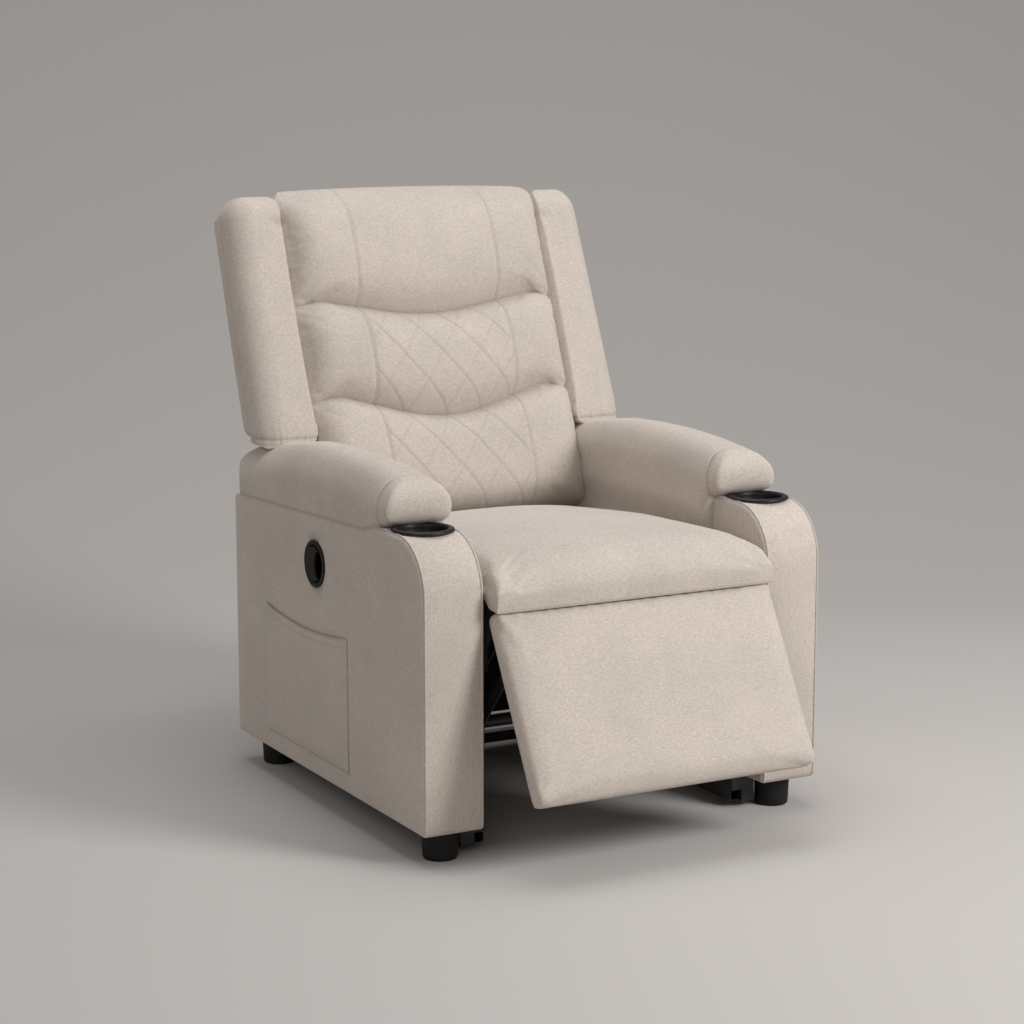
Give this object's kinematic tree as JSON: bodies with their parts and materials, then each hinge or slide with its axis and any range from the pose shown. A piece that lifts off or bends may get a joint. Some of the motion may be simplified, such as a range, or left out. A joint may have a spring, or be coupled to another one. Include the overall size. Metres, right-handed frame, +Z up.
{
  "type": "recliner armchair",
  "caption": "Padded recliner armchair with a winged sectional back pillow, raised footrest, arm cup holders, pull handle and side pocket.",
  "frame": {"origin": "bottom centre of the bounding box in the stored pose, on the floor", "axes": "+Z up, the chair faces -Y, the sitter's right arm with the handle and pocket is on -X"},
  "size_m": [0.776, 1.0841, 1.0636],
  "materials": {
    "upholstery": "woven linen look, warm grey beige",
    "timber": "raw plywood and pine",
    "black_board": "plywood painted black",
    "black_plastic": "satin black",
    "foot_plastic": "matte black",
    "black_steel": "black powder coat",
    "pin_steel": "zinc plated",
    "black_cloth": "black nonwoven and elastic band"
  },
  "bodies": {
    "base": {"arm_frame_left": "timber", "arm_frame_right": "timber", "arm_outer_panel_left": "upholstery", "arm_outer_panel_right": "upholstery", "arm_inner_shell_left": "upholstery", "arm_inner_shell_right": "upholstery", "arm_front_cover_left": "upholstery", "arm_front_cover_right": "upholstery", "arm_pad_left": "upholstery", "arm_pad_right": "upholstery", "cup_holder_left": "black_plastic", "cup_holder_right": "black_plastic", "side_pocket": "upholstery", "foot_front_left": "foot_plastic", "foot_front_right": "foot_plastic", "foot_rear_left": "foot_plastic", "foot_rear_right": "foot_plastic", "foot_bolts": "pin_steel", "base_rail_left": "black_steel", "base_rail_right": "black_steel", "base_crossbars": "black_steel", "rail_brackets": "black_steel", "seat_side_rail_left": "black_board", "seat_side_rail_right": "black_board", "seat_front_rail": "black_board", "seat_rear_rail": "timber", "seat_webbing": "black_cloth", "dust_cover": "black_cloth", "rear_dust_cloth": "black_cloth", "seat_cushion": "upholstery", "back_mount_plates": "black_steel", "back_pivot_pins": "pin_steel", "mech_side_plates": "black_steel", "mech_fixed_pins": "pin_steel", "handle_bezel": "black_plastic", "paddle_pin": "pin_steel"},
    "back": {"lumbar_cushion": "upholstery", "mid_cushion": "upholstery", "head_cushion": "upholstery", "wing_left": "upholstery", "wing_right": "upholstery", "back_frame": "timber", "back_webbing": "black_cloth", "back_rear_panel": "upholstery", "back_hinge_plate_left": "black_steel", "back_hinge_plate_right": "black_steel"},
    "lift": {"lift_links": "black_steel", "lift_pins": "pin_steel"},
    "upper": {"upper_links": "black_steel", "upper_pins": "pin_steel", "cross_tube": "black_steel"},
    "stay": {"stay_links": "black_steel"},
    "base_link": {"base_links": "black_steel"},
    "footrest": {"footrest_brackets": "black_steel", "bracket_pins": "pin_steel", "footrest_board": "timber", "footrest_pad": "upholstery"},
    "paddle": {"release_paddle": "black_plastic"}
  },
  "joints": [
    {"name": "footrest_lift", "type": "hinge", "parent": "base", "child": "lift", "pos_m": [0.003, -0.26209, 0.35133], "axis": [-1, 0, 0], "range_deg": [-28.18, 64.44]},
    {"name": "upper_turn", "type": "hinge", "parent": "lift", "child": "upper", "pos_m": [0.003, -0.25151, 0.20114], "axis": [-1, 0, 0], "range_deg": [-79.67, 35.18]},
    {"name": "footrest_turn", "type": "hinge", "parent": "upper", "child": "footrest", "pos_m": [0.003, -0.35328, 0.31642], "axis": [-1, 0, 0], "range_deg": [-35.6, 80.63]},
    {"name": "stay_turn", "type": "hinge", "parent": "lift", "child": "stay", "pos_m": [0.003, -0.22649, 0.26992], "axis": [-1, 0, 0], "range_deg": [-79.71, 35.2]},
    {"name": "base_link_turn", "type": "hinge", "parent": "base", "child": "base_link", "pos_m": [0.003, -0.26095, 0.2909], "axis": [-1, 0, 0], "range_deg": [-30.91, 69.92]},
    {"name": "back_recline", "type": "hinge", "parent": "base", "child": "back", "pos_m": [0.003, 0.33405, 0.4], "axis": [-1, 0, 0], "range_deg": [0, 32]},
    {"name": "release_paddle", "type": "hinge", "parent": "base", "child": "paddle", "pos_m": [-0.376, 0.06405, 0.435], "axis": [0, 0, 1], "range_deg": [-15, 0], "stiffness_Nm_per_rad": 0.8}
  ],
  "couplings": [
    {"joint": "upper_turn", "follows": "footrest_lift", "ratio": -1.227},
    {"joint": "footrest_turn", "follows": "footrest_lift", "ratio": 1.2418},
    {"joint": "stay_turn", "follows": "footrest_lift", "ratio": -1.2276},
    {"joint": "base_link_turn", "follows": "footrest_lift", "ratio": 1.0756}
  ]
}
